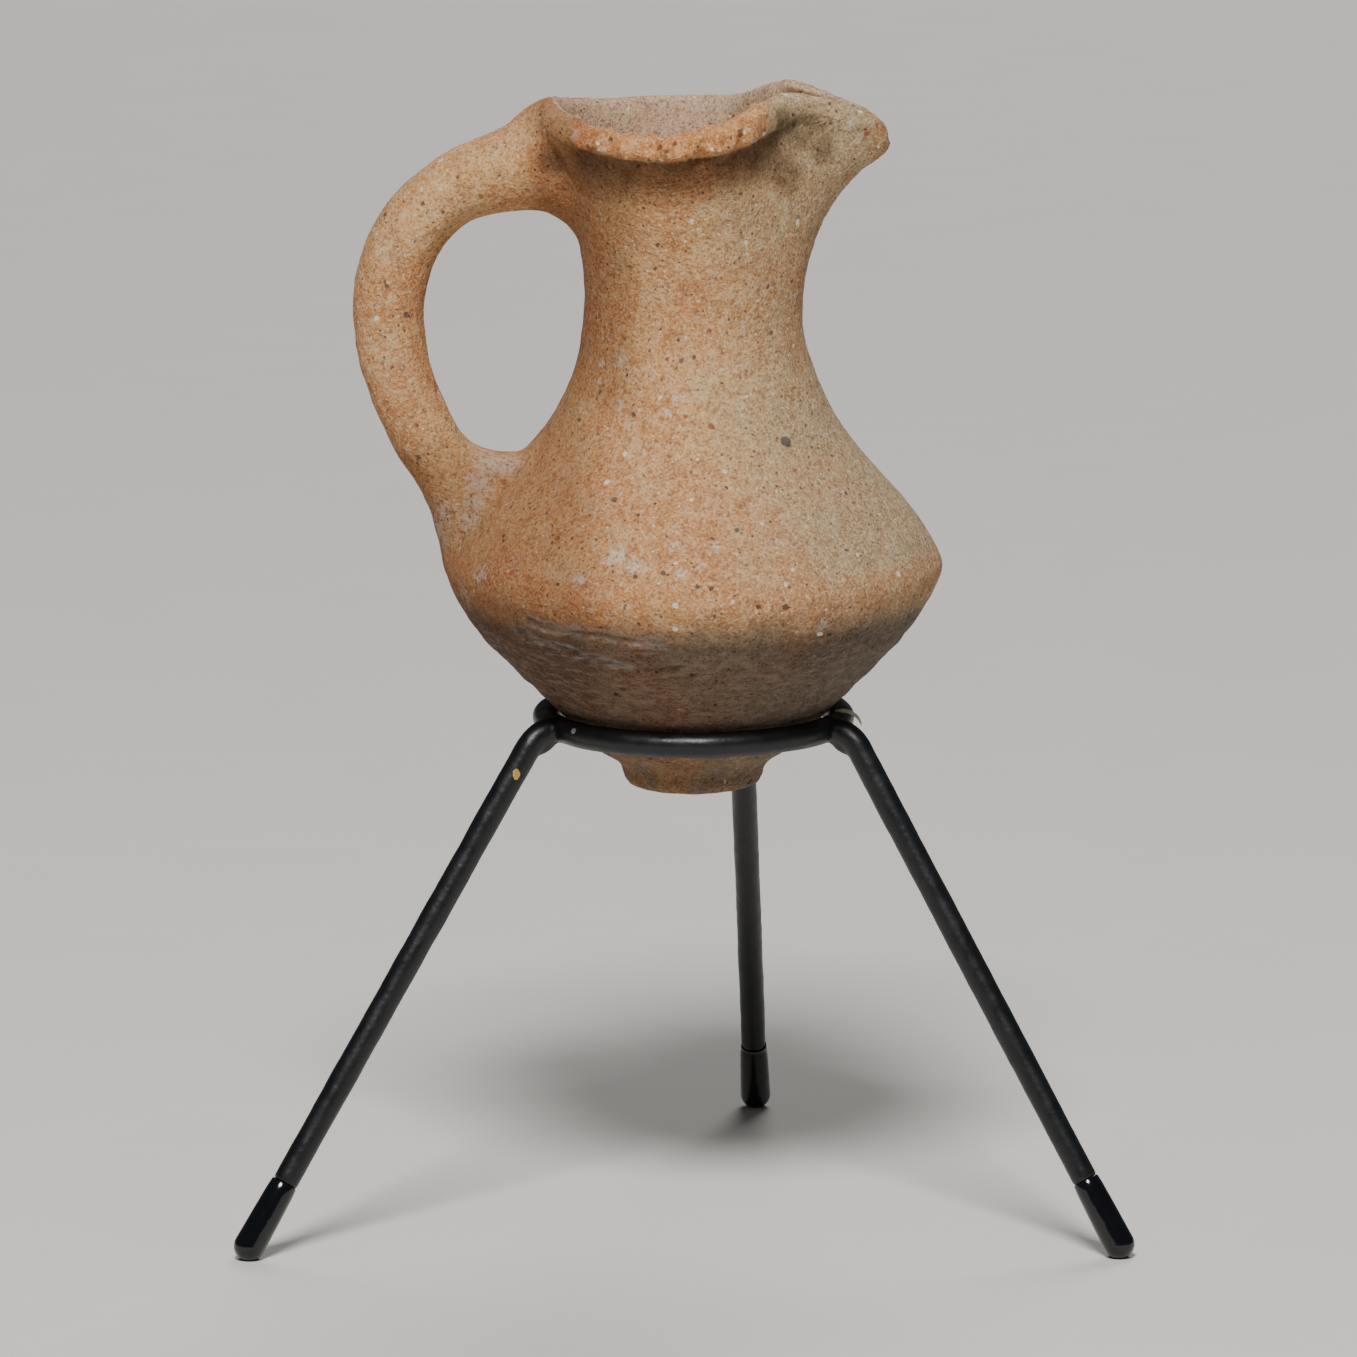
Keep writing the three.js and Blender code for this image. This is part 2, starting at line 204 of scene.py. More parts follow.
def weigh(piece, rule):
    """A vertex group that holds a rule of place."""
    group = piece.vertex_groups.new(name=rule.__name__)
    for vertex in piece.data.vertices:
        weight = rule(from_foot(vertex), vertex.normal)
        if weight > 0:
            group.add([vertex.index], weight, "REPLACE")
    return group.name


pitcher = bpy.data.objects.new("clay_pitcher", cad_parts["pitcher"].data.copy())
bpy.context.scene.collection.objects.link(pitcher)
only(pitcher)
bpy.ops.object.mode_set(mode="EDIT")
bpy.ops.mesh.select_all(action="SELECT")
bpy.ops.mesh.remove_doubles(threshold=0.001 * mm)
bpy.ops.object.mode_set(mode="OBJECT")
finish_with(pitcher, "REMESH", mode="VOXEL", voxel_size=pot_voxel, use_smooth_shade=True)
smoothed = weigh(pitcher, away_from_lip)
finish_with(pitcher, "SMOOTH", factor=0.5, iterations=pot_smoothing, vertex_group=smoothed)
pitcher.vertex_groups.clear()


def relief(piece, depth, size, rule, detail=2, contrast=1):
    """Raises and sinks the surface by a cloudy pattern where a rule says, in millimetres."""
    where = weigh(piece, rule)
    texture = bpy.data.textures.new("relief", "CLOUDS")
    texture.noise_scale = 1
    texture.noise_depth = detail
    texture.contrast = contrast
    only(piece)
    bpy.ops.object.empty_add(location=pot_foot)
    pattern_place = bpy.context.object
    pattern_place.scale = Vector(size) * mm
    bpy.context.view_layer.update()
    finish_with(
        piece,
        "DISPLACE",
        texture=texture,
        texture_coords="OBJECT",
        texture_coords_object=pattern_place,
        vertex_group=where,
        strength=depth * mm,
        mid_level=0.5,
    )
    bpy.data.objects.remove(pattern_place)
    piece.vertex_groups.clear()


def shift(piece, move):
    """Moves each vertex as a rule says, from its place and its normal, in millimetres."""
    moves = [move(from_foot(vertex), vertex.normal) for vertex in piece.data.vertices]
    for vertex, step in zip(piece.data.vertices, moves):
        vertex.co += step * mm


def on_front(x, z):
    """Where a level look from the front meets the clay, so far across and above the foot."""
    start = pot_foot + Vector((x, -60, z)) * mm
    found, spot, facing, face = pitcher.ray_cast(start, Vector((0, 1, 0)))
    return (spot - pot_foot) / mm


# Long gouges in the lower cone: both ends across and above the foot, half width and depth
gouges = [
    (-20.5, 25.2, -12, 24.2, 0.8, 0.35),
    (-12, 24.2, -4.2, 23.6, 0.7, 0.3),
    (-22, 23.4, -15, 21.6, 0.7, 0.3),
    (-15, 21.6, -8.6, 19.8, 0.8, 0.35),
    (-6.2, 19.4, -1.4, 20, 0.6, 0.3),
    (-4.4, 18.2, 0.4, 18.8, 0.5, 0.25),
]
gouge_lines = []
for start_x, start_z, end_x, end_z, width, depth in gouges:
    gouge_lines.append((on_front(start_x, start_z), on_front(end_x, end_z), width, depth))
rough_gouges = gouge_lines[:4]


def near_gouges(place):
    """Whether a place is in the part of the cone that has gouges."""
    return place.y < -12 and 14 < place.z < 28


def from_line(place, start, end):
    """How far a place is from the line between two others."""
    along = min(1, max(0, intersect_point_line(place, start, end)[1]))
    return (place - start.lerp(end, along)).length


def gouged_patch(place, normal):
    """The rough ground to both sides of the left gouges."""
    if not near_gouges(place):
        return 0
    nearest = min(from_line(place, start, end) for start, end, width, depth in rough_gouges)
    return ramp(nearest, 2.6, 0.7)


def rolled_lip(place, normal):
    """The lip rolls over a little, and the wall draws in below it."""
    out = Vector((place.x, place.y, 0)).normalized()
    return out * (0.4 * worn_lip(place, normal) - 0.5 * below_lip(place, normal))


# Unevenness of the hand-built wall, marks of scraping, rough ground, worn lip, and coarse sand:
# the depth of each and the size of its pattern
shift(pitcher, rolled_lip)
relief(pitcher, 0.55, (17, 17, 14), everywhere)
relief(pitcher, 0.3, (5.5, 5.5, 4), outside)
relief(pitcher, 0.32, (9, 9, 1.2), scraped_cone)
relief(pitcher, 0.8, (6, 6, 1.7), gouged_patch, detail=3)
relief(pitcher, 1.4, (2.4, 2.4, 1.7), worn_lip, detail=3, contrast=1.7)
relief(pitcher, 0.16, (1.3, 1.3, 1.2), outside)
bpy.context.view_layer.update()

# Dents and chips, and lumps where the depth is negative: place across and above the foot, radius
# and depth
dents = [
    (14.5, 70, 11, -0.55),
    (14.6, 61.8, 1.3, -0.5),
    (-10.4, 84.4, 1.0, 0.9),
    (-4.6, 83.6, 1.5, 0.45),
    (-2.4, 84.4, 1.7, 0.6),
    (0.4, 82.3, 1.5, 0.6),
    (2, 82.6, 1.4, 0.5),
    (6, 85, 1.2, 0.35),
    (-12.6, 84.7, 1.3, 0.7),
    (-8.4, 84.4, 1.3, 0.6),
    (-5.6, 84.2, 1.2, 0.6),
    (-1.4, 84, 1.4, 0.8),
    (1.6, 84.5, 1.1, 0.6),
    (4.4, 85.2, 1.2, 0.5),
    (-7.2, 82.1, 1.2, 0.4),
    (11.5, 46.4, 1.1, -0.3),
    (-9.9, 40.1, 0.9, -0.25),
    (-9.7, 15.3, 1.0, 0.6),
    (8.0, 28.1, 1.2, 0.5),
    (11.3, 27.9, 1.0, 0.4),
    (-23.7, 33.9, 0.8, 0.4),
]
dent_places = [(on_front(x, z), radius, depth) for x, z, radius, depth in dents]
handle_nick = (Vector((-31.4, -1, 50.4)), 1.6, 0.6)
blunt_tip = (Vector((25, 0, 82.7)), 2.4, 0.45)
dent_places += [handle_nick, blunt_tip]


def dented(place, normal):
    depth = 0
    for spot, radius, deepest in dent_places:
        share = (place - spot).length / radius
        if share < 1:
            depth += deepest * (1 - share * share) ** 2
    return -depth * normal


shift(pitcher, dented)


def gouge_depth(place):
    """How deep in a gouge a place lies, in millimetres."""
    depth = 0
    if near_gouges(place):
        for start, end, width, deepest in gouge_lines:
            depth = max(depth, deepest * (1 - from_line(place, start, end) / width))
    return depth


def gouged(place, normal):
    return -gouge_depth(place) * normal


in_gouge = [gouge_depth(from_foot(vertex)) for vertex in pitcher.data.vertices]
shift(pitcher, gouged)
only(pitcher)
bpy.ops.object.shade_smooth()
bpy.context.view_layer.update()

# Soil left in hollows, and lime on the clay: place across and above the foot, and radius
soil = [
    (13.7, 84.2, 4.2), (11, 86, 2.6), (16, 82, 3), (-17.6, 80.6, 3), (11.5, 79, 4),
]
lime = [
    (-25.5, 41.8, 4), (-23.6, 41.2, 3.4), (-26.8, 39.4, 3.4), (-28.3, 34.7, 3), (-27.4, 36.8, 3),
    (-32.1, 33.2, 3.6), (-31.6, 35.6, 3), (-28.6, 26.2, 2.6), (-26.6, 29.6, 2.6), (-8.9, 55.6, 1.6),
    (-11.4, 55.3, 1.2), (-11.6, 53, 1), (-2, 51.9, 1.3), (-3.3, 50.3, 1.2), (-9.2, 50.6, 1.5),
    (-2.7, 35.2, 1.2), (-1.5, 32.3, 1.2), (0.8, 33, 1.3), (-7.5, 32.9, 2), (-9.5, 34, 2.6),
    (2.6, 35.2, 1.5), (12.8, 63.2, 1.1), (19.6, 84.4, 1.5), (7.4, 84.1, 1), (12.2, 88.4, 1.4),
    (-14, 31, 1.8), (16, 25, 1.7), (-15, 84.4, 1.2), (-11.6, 83, 1.1),
]
soil_places = [(on_front(x, z), radius) for x, z, radius in soil]
lime_places = [(on_front(x, z), radius) for x, z, radius in lime]


def soiled(place, normal):
    """How near a place is to the middle of a patch of soil."""
    return max(0, max(1 - (place - spot).length / radius for spot, radius in soil_places))


def limed(place, normal):
    """How near a place is to the middle of a patch of lime."""
    return max(0, max(1 - (place - spot).length / radius for spot, radius in lime_places))


def keep(piece, name, shares):
    """Keeps a share for each vertex, for the material to read."""
    piece.data.attributes.new(name, "FLOAT", "POINT").data.foreach_set("value", shares)


rules = [
    hollow, channel, worn_lip, below_lip, spout_tip, carination, shaded_side, lower_cone,
    gouged_patch, soiled, limed,
]
for rule in rules:
    shares = [rule(from_foot(vertex), vertex.normal) for vertex in pitcher.data.vertices]
    keep(pitcher, rule.__name__, shares)
keep(pitcher, "in_gouge", in_gouge)


def linear(hex_colour):
    """An sRGB hex colour as the linear colour that a shader takes."""
    parts = [int(hex_colour[i:i + 2], 16) / 255 for i in (1, 3, 5)]
    parts = [c / 12.92 if c <= 0.04045 else ((c + 0.055) / 1.055) ** 2.4 for c in parts]
    return (*parts, 1.0)


def add(tree, kind, inputs=None, output=0, **settings):
    """Adds a node, sets it, links or fills its inputs, and gives back one of its outputs."""
    node = tree.nodes.new(kind)
    for setting, value in settings.items():
        setattr(node, setting, value)
    for name, value in (inputs or {}).items():
        if isinstance(value, bpy.types.NodeSocket):
            tree.links.new(value, node.inputs[name])
        else:
            node.inputs[name].default_value = value
    return node.outputs[output]


# Fired clay, unglazed: earthenware with sand and crushed grit, scraped and wiped by hand. It is
# dull and dry, mottled from orange to greenish buff by the fire, and every grain of sand shows as
# a pale or dark speck.
clay = bpy.data.materials.new("fired_gritty_clay_scraped")
clay.use_nodes = True
tree = clay.node_tree
shader = tree.nodes["Principled BSDF"]
at = add(tree, "ShaderNodeTexCoord", output=3)
place = add(tree, "ShaderNodeMapping", {
    "Vector": at, "Scale": (1 / mm,) * 3, "Location": tuple(-pot_foot / mm),
})

# Patterns by the size of what they stand for, in millimetres. Sand of 0.1 mm is too fine to show,
# so it is drawn as 0.34 mm
pattern_sizes = {"fired": 15, "blotch": 4.5, "dapple": 1.8, "grit": 0.75, "sand": 0.34}
patterns = {}
for name, size in pattern_sizes.items():
    patterns[name] = add(tree, "ShaderNodeTexNoise", {
        "Vector": place, "Scale": 1 / size, "Detail": 3, "Roughness": 0.6,
    }).node
fired, blotch, dapple, grit, sand = [node.outputs[0] for node in patterns.values()]
streak_place = add(tree, "ShaderNodeMapping", {"Vector": place, "Scale": (1 / 2, 1 / 2, 1 / 0.6)})
streak = add(tree, "ShaderNodeTexNoise", {
    "Vector": streak_place, "Scale": 1.0, "Detail": 4, "Roughness": 0.6,
})
zones = {}
for name in pitcher.data.attributes.keys():
    if pitcher.data.attributes[name].data_type == "FLOAT":
        zones[name] = add(tree, "ShaderNodeAttribute", output=2, attribute_name=name)
to_the_right = add(tree, "ShaderNodeVectorMath", {0: place, 1: (1, 0, 0)},
                   output=1, operation="DOT_PRODUCT")
greenish = add(tree, "ShaderNodeMath", {0: fired, 1: 34, 2: to_the_right}, operation="MULTIPLY_ADD")
lime_edge = add(tree, "ShaderNodeMath", {0: grit, 1: 2, 2: zones["limed"]},
                operation="MULTIPLY_ADD")
# The lower cone is darkened unevenly: painted shade of the downward-facing cone, together with soil
cone_shade_and_soil = add(tree, "ShaderNodeMath", {0: blotch, 1: 0.7, 2: zones["lower_cone"]},
                  operation="MULTIPLY_ADD")
chalky = add(tree, "ShaderNodeMath", {0: streak, 1: zones["gouged_patch"]}, operation="MULTIPLY")
cone_streak = add(tree, "ShaderNodeMath", {0: streak, 1: zones["lower_cone"]}, operation="MULTIPLY")

# Layers of colour: what rules each, where that starts and ends, how much of it, and how it is laid
clay_layers = [
    (fired, 0.42, 0.6, 0.85, "MIX", "#CC9F69"),
    (blotch, 0.5, 0.68, 0.45, "MIX", "#C0A078"),
    (blotch, 0.48, 0.32, 0.45, "MIX", "#B27547"),
    (greenish, 14, 38, 0.75, "MIX", "#9C8D6F"),
    (zones["hollow"], 0.2, 0.8, 0.85, "MIX", "#BB9C82"),
    (zones["carination"], 0, 1, 0.45, "MIX", "#B87745"),
    (zones["worn_lip"], 0.35, 0.65, 0.8, "MIX", "#C88143"),
    (zones["spout_tip"], 0, 1, 0.7, "MIX", "#A8734A"),
    (dapple, 0.5, 0.7, 0.3, "MIX", "#CDB492"),
    (dapple, 0.5, 0.33, 0.28, "MIX", "#935E3A"),
    (lime_edge, 1.2, 2.0, 0.72, "MIX", "#CBC0B0"),
    (grit, 0.52, 0.7, 0.4, "MIX", "#D6BC94"),
    (grit, 0.48, 0.32, 0.45, "MIX", "#744E38"),
    (sand, 0.52, 0.68, 0.45, "MIX", "#DEC8A4"),
    (sand, 0.48, 0.34, 0.52, "MIX", "#634636"),
]
# Soil, scraping marks and painted shade, laid over the grains
soil_and_shade_layers = [
    # painted shade, with some soil, on the side under the handle
    (zones["shaded_side"], 0, 1, 0.85, "MULTIPLY", "#C0AFA6"),
    (zones["soiled"], 0, 0.7, 0.7, "MULTIPLY", "#8F897E"),
    # painted shade, with some soil, in the bottom of the spout's channel
    (zones["channel"], 0, 1, 0.85, "MULTIPLY", "#856C5E"),
    # painted shade under the overhanging lip
    (zones["below_lip"], 0, 1, 0.95, "MULTIPLY", "#8E8079"),
    # painted shade and soil on the lower cone
    (cone_shade_and_soil, 0.5, 1.35, 0.95, "MULTIPLY", "#86889A"),
    (cone_streak, 0.46, 0.66, 0.26, "MIX", "#9A8775"),
    (chalky, 0.34, 0.72, 0.6, "MIX", "#978E85"),
    (zones["in_gouge"], 0.03, 0.3, 0.5, "MIX", "#382C27"),
]


def lay_over(colour, layers):
    """Lays layers of colour over a first one, in their order."""
    for value, start, end, most, blend, hex_colour in layers:
        share = add(tree, "ShaderNodeMapRange", {
            "Value": value, "From Min": start, "From Max": end, "To Max": most,
        }, interpolation_type="SMOOTHSTEP")
        colour = add(tree, "ShaderNodeMix", {0: share, 6: colour, 7: linear(hex_colour)},
                     output=2, data_type="RGBA", blend_type=blend)
    return colour


colour = add(tree, "ShaderNodeMix", {6: linear("#C48A58"), 7: linear("#BC814E"), 0: fired},
             output=2, data_type="RGBA")
colour = lay_over(colour, clay_layers)

# Loose grains all over: their spacing and greatest radius in millimetres, the share of places that
# hold one, and their colour. Their outline is bent and soft, and they let a little clay through
grain_bend = 0.7
grain_unlikeness = 0.6
grain_cover = 0.8
loose_edge = 0.05
grains = [
    (0.8, 0.18, 0.3, "#DCCDB4"),
    (0.75, 0.2, 0.3, "#4E3A2E"),
    (2.1, 0.32, 0.3, "#E2D4BC"),
    (2.4, 0.34, 0.3, "#43362F"),
    (4.4, 0.45, 0.3, "#8A5236"),
]
bent = add(tree, "ShaderNodeVectorMath", {
    0: patterns["grit"].outputs[1], 1: (grain_bend,) * 3, 2: place,
}, operation="MULTIPLY_ADD")
pits = None
for spacing, radius, number, hex_colour in grains:
    cell = add(tree, "ShaderNodeTexVoronoi", {"Vector": bent, "Scale": 1 / spacing}).node
    chances = add(tree, "ShaderNodeSeparateColor", {0: cell.outputs[1]}).node
    held = add(tree, "ShaderNodeMath", {0: chances.outputs[0], 1: number}, operation="LESS_THAN")
    smaller = add(tree, "ShaderNodeMath", {
        0: chances.outputs[1], 1: grain_unlikeness * radius / spacing, 2: cell.outputs[0],
    }, operation="MULTIPLY_ADD")
    spot = add(tree, "ShaderNodeMapRange", {
        "Value": smaller,
        "From Min": (radius + loose_edge) / spacing,
        "From Max": (radius - loose_edge) / spacing,
        "To Max": grain_cover,
    })
    spot = add(tree, "ShaderNodeMath", {0: spot, 1: held}, operation="MULTIPLY")
    colour = add(tree, "ShaderNodeMix", {0: spot, 6: colour, 7: linear(hex_colour)},
                 output=2, data_type="RGBA")
    pits = spot if pits is None else add(
        tree, "ShaderNodeMath", {0: pits, 1: spot}, operation="MAXIMUM")

colour = lay_over(colour, soil_and_shade_layers)

# The larger grains one by one: place across and above the foot, and radius
larger_share = 0.85
larger_edge = 0.08
larger_grains = {
    "#E2D8C6": [
        (-2.3, 28.6, 0.42), (4.8, 29, 0.25), (-8.5, 45.2, 0.4), (0.4, 44.9, 0.3),
        (3.8, 43.5, 0.32), (-10.8, 41.9, 0.42), (-0.2, 74.1, 0.34), (-39.7, 60.2, 0.36),
        (-34, 76.4, 0.24), (-31.6, 76.5, 0.24), (11.4, 88.6, 0.4), (20.9, 86.1, 0.35),
        (8.8, 84.6, 0.42), (12.9, 72.8, 0.35), (8.4, 37.6, 0.32), (12.3, 32.3, 0.32),
        (11.4, 30.7, 0.25), (20.3, 33.1, 0.3), (25.5, 30.1, 0.45), (15.6, 23.9, 0.4),
        (2.2, 83.6, 0.3), (3.2, 83.4, 0.36), (-11.9, 83.8, 0.3), (-11.8, 83, 0.25),
        (-4, 82.2, 0.22), (6.2, 85.4, 0.3), (16.4, 27.2, 0.3), (-2.3, 25.6, 0.4),
    ],
    "#3E3E42": [
        (-9.9, 40.1, 0.5), (5.3, 37, 0.4), (-3.8, 32.3, 0.4), (0.4, 30.8, 0.3),
        (-1.5, 56.4, 0.42), (9.3, 65.1, 0.4), (-35.9, 60.6, 0.5), (-34.5, 42.5, 0.4),
        (11.5, 46.4, 0.85), (-11.7, 51.8, 0.3), (13.4, 50.5, 0.3), (-1.8, 59, 0.3),
    ],
    "#8A4529": [
        (-22.6, 30.8, 0.5), (1.9, 60.1, 0.42), (-3.3, 56.6, 0.3), (2.1, 48.7, 0.5),
        (-1, 49.8, 0.35), (21.6, 83.3, 0.4),
    ],
    "#5E3520": [
        (11.3, 28, 0.5), (-4.2, 83.7, 0.5), (-3.4, 83.4, 0.45), (-2.4, 84.3, 0.4), (-0.4, 82, 0.5),
        (0.6, 81.9, 0.55), (1.6, 82.1, 0.5), (2.6, 82.4, 0.4),
    ],
    "#2B211D": [
        (-23.7, 33.9, 0.3), (-23.7, 34.4, 0.3), (4, 41.7, 0.3), (-38.6, 55.3, 0.25),
        (-10.2, 84.4, 0.38), (-9.7, 15.3, 0.4), (8, 28.2, 0.4), (-11, 81.2, 0.22),
        (-6.9, 81.2, 0.26), (1.6, 80.9, 0.24), (-13, 80.8, 0.2), (-7.5, 81.8, 0.2),
    ],
}
usual_bend = Vector((grain_bend / 2,) * 3)
for hex_colour, spots in larger_grains.items():
    nearest = None
    for x, z, radius in spots:
        distance = add(tree, "ShaderNodeVectorMath", {0: bent, 1: on_front(x, z) + usual_bend},
                       output=1, operation="DISTANCE")
        distance = add(tree, "ShaderNodeMath", {0: distance, 1: larger_share * radius},
                       operation="SUBTRACT")
        nearest = distance if nearest is None else add(
            tree, "ShaderNodeMath", {0: nearest, 1: distance}, operation="MINIMUM")
    spot = add(tree, "ShaderNodeMapRange", {
        "Value": nearest, "From Min": larger_edge, "From Max": -larger_edge, "To Max": grain_cover,
    })
    colour = add(tree, "ShaderNodeMix", {0: spot, 6: colour, 7: linear(hex_colour)},
                 output=2, data_type="RGBA")

tree.links.new(colour, shader.inputs["Base Color"])
shader.inputs["Roughness"].default_value = 0.88
shader.inputs["IOR"].default_value = 1.5
shader.inputs["Specular IOR Level"].default_value = 0.3
grit_height, sand_height, pit_depth = 0.3, 0.14, 0.06
rough = add(tree, "ShaderNodeMath", {0: grit, 1: grit_height}, operation="MULTIPLY")
rough = add(tree, "ShaderNodeMath", {0: sand, 1: sand_height, 2: rough}, operation="MULTIPLY_ADD")
rough = add(tree, "ShaderNodeMath", {0: pits, 1: -pit_depth, 2: rough}, operation="MULTIPLY_ADD")
bump = add(tree, "ShaderNodeBump", {"Height": rough, "Distance": mm, "Strength": 1.0})
tree.links.new(bump, shader.inputs["Normal"])
pitcher.data.materials.clear()
pitcher.data.materials.append(clay)
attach(pitcher, "root")
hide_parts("pitcher")


# Tripod: a ring and three legs of steel wire, each leg bent over and welded to the ring, all
# dipped in a thin black coating that rounds the welds. The pitcher only hangs in the ring by its
# lower cone.
wire_radius = 1.6
ring_radius = 18.7
ring_height = 63.9
elbow_reach = 3.1
elbow_bend = 2.4
cap_length = 11
cap_radius = 2
cap_flat = 0.25
bare_wire_radius = 1.1
bare_wire_length = 7
wire_sides = 24
bend_steps = 10
stand_voxel = 0.26 * mm
stand_smoothing = 14
smoothing_loss = 0.05
axis = Vector((pot_foot.x, pot_foot.y, 0))
# Each leg: its turn around the axis at the ring and at the toe, in degrees, and its toe's reach
legs = {"left": (206, 206, 61.8), "right": (334, 334, 59.2), "back": (74, 82, 59.4)}


def around(azimuth, distance, level):
    """A place around the axis of the pitcher, by angle and millimetres."""
    turn = math.radians(azimuth)
    return axis + Vector((distance * math.cos(turn), distance * math.sin(turn), level)) * mm


def leg_line(name):
    """Where a leg leaves the ring, its elbow, its toe and its direction downwards."""
    ring_azimuth, foot_azimuth, reach = legs[name]
    elbow = around(ring_azimuth, ring_radius + elbow_reach, ring_height)
    toe = around(foot_azimuth, reach, cap_radius - cap_flat)
    return around(ring_azimuth, ring_radius, ring_height), elbow, toe, (toe - elbow).normalized()


def extrude(step, scale=1.0, centre=(0, 0, 0)):
    """Draws the selected end on by a step, and widens or narrows it about its centre."""
    bpy.ops.mesh.extrude_region_move(TRANSFORM_OT_translate={"value": step})
    if scale != 1.0:
        bpy.ops.transform.resize(value=(scale,) * 3, center_override=centre)


drawn_radius = wire_radius + smoothing_loss
bpy.ops.object.select_all(action="DESELECT")
bpy.ops.mesh.primitive_torus_add(
    major_radius=ring_radius * mm,
    minor_radius=drawn_radius * mm,
    major_segments=150,
    minor_segments=wire_sides,
    location=axis + Vector((0, 0, ring_height * mm)),
)
stand = bpy.context.object
stand.name = "coated_wire_tripod"
wires = [stand]
for name in legs:
    start, elbow, toe, down = leg_line(name)
    out = (elbow - start).normalized()
    bend_axis = out.cross(down).normalized()
    turn = out.angle(down)
    bend_radius = elbow_bend * mm / math.tan(turn / 2)
    bend_start = elbow - out * elbow_bend * mm
    bend_centre = bend_start + bend_axis.cross(out).normalized() * bend_radius
    bpy.ops.object.select_all(action="DESELECT")
    bpy.ops.mesh.primitive_circle_add(
        vertices=wire_sides,
        radius=drawn_radius * mm,
        fill_type="NGON",
        location=start,
        rotation=Vector((0, 0, 1)).rotation_difference(out).to_euler(),
    )
    leg = bpy.context.object
    bpy.ops.object.transform_apply(location=True, rotation=True, scale=True)
    bpy.ops.object.mode_set(mode="EDIT")
    bpy.ops.mesh.select_all(action="SELECT")
    extrude(bend_start - start)
    bpy.ops.mesh.spin(steps=bend_steps, angle=-turn, center=bend_centre, axis=bend_axis)
    bend_end = bend_centre + Matrix.Rotation(turn, 3, bend_axis) @ (bend_start - bend_centre)
    cap_mouth = toe - down * (cap_length - cap_radius) * mm
    extrude(cap_mouth - bend_end)
    extrude((0, 0, 0), bare_wire_radius / drawn_radius, cap_mouth)
    extrude(down * bare_wire_length * mm)
    bpy.ops.object.mode_set(mode="OBJECT")
    wires.append(leg)

# A fillet of weld and coating fills the inner corner between the ring and each leg
weld_half_width, weld_half_length, weld_half_depth = 1, 2, 1
weld_sink = 0.5
for name in legs:
    start, elbow, toe, down = leg_line(name)
    out = (elbow - start).normalized()
    inner = (down - out).normalized()
    across = out.cross(down).normalized()
    bpy.ops.object.select_all(action="DESELECT")
    bpy.ops.mesh.primitive_uv_sphere_add(
        segments=24,
        ring_count=16,
        radius=mm,
        location=elbow + inner * (wire_radius + weld_sink) * mm,
        rotation=Matrix((across, (down + out).normalized(), inner)).transposed().to_euler(),
        scale=(weld_half_width, weld_half_length, weld_half_depth),
    )
    wires.append(bpy.context.object)

bpy.ops.object.select_all(action="DESELECT")
for wire in wires:
    wire.select_set(True)
bpy.context.view_layer.objects.active = stand
bpy.ops.object.join()
bpy.ops.object.transform_apply(location=True, rotation=True, scale=True)
only(stand)
bpy.ops.object.mode_set(mode="EDIT")
bpy.ops.mesh.select_all(action="SELECT")
bpy.ops.mesh.normals_make_consistent(inside=False)
bpy.ops.object.mode_set(mode="OBJECT")
finish_with(stand, "REMESH", mode="VOXEL", voxel_size=stand_voxel, use_smooth_shade=True)
finish_with(stand, "SMOOTH", factor=0.5, iterations=stand_smoothing)
relief(stand, 0.16, (4, 4, 4), everywhere)
bpy.ops.object.shade_smooth()

# Black coating, dipped and baked: satin, a little uneven, worn through to bright metal in two
# small spots
coating = bpy.data.materials.new("black_dipped_coating_satin")
coating.use_nodes = True
tree = coating.node_tree
shader = tree.nodes["Principled BSDF"]
at = add(tree, "ShaderNodeTexCoord", output=3)
place = add(tree, "ShaderNodeMapping", {
    "Vector": at, "Scale": (1 / mm,) * 3, "Location": tuple(-pot_foot / mm),
})
sag_size, pimple_size, pimple_height = 2.2, 0.5, 0.03
uneven = add(tree, "ShaderNodeTexNoise", {
    "Vector": place, "Scale": 1 / sag_size, "Detail": 3, "Roughness": 0.5,
})
fine = add(tree, "ShaderNodeTexNoise", {
    "Vector": place, "Scale": 1 / pimple_size, "Detail": 2, "Roughness": 0.6,
})
colour = add(tree, "ShaderNodeMix", {0: uneven, 6: linear("#08090B"), 7: linear("#101115")},
             output=2, data_type="RGBA")
# Worn spots: place from the middle of the pitcher's foot, half size, and the metal's colour
worn_spots = [
    ((-22.2, -12.9, 3.7), (0.5, 0.8, 0.8), "#E6C46A"),
    ((-15.1, -13.4, 9.4), (0.4, 0.4, 0.4), "#FFFFFF"),
]
any_worn = None
for spot, size, hex_colour in worn_spots:
    measured = add(tree, "ShaderNodeMapping", {
        "Vector": place, "Location": spot, "Scale": size,
    }, vector_type="TEXTURE")
    distance = add(tree, "ShaderNodeVectorMath", {0: measured}, output=1, operation="LENGTH")
    ragged = add(tree, "ShaderNodeMath", {0: fine, 1: 0.7, 2: distance}, operation="MULTIPLY_ADD")
    worn = add(tree, "ShaderNodeMapRange", {"Value": ragged, "From Min": 1.4, "From Max": 1.25})
    colour = add(tree, "ShaderNodeMix", {0: worn, 6: colour, 7: linear(hex_colour)},
                 output=2, data_type="RGBA")
    any_worn = worn if any_worn is None else add(
        tree, "ShaderNodeMath", {0: any_worn, 1: worn}, operation="MAXIMUM")
tree.links.new(colour, shader.inputs["Base Color"])
tree.links.new(any_worn, shader.inputs["Metallic"])
gloss = add(tree, "ShaderNodeMapRange", {
    "Value": uneven, "From Min": 0.3, "From Max": 0.7, "To Min": 0.34, "To Max": 0.48,
})
tree.links.new(gloss, shader.inputs["Roughness"])
shader.inputs["IOR"].default_value = 1.5
coat_height = add(tree, "ShaderNodeMath", {0: fine, 1: pimple_height}, operation="MULTIPLY")
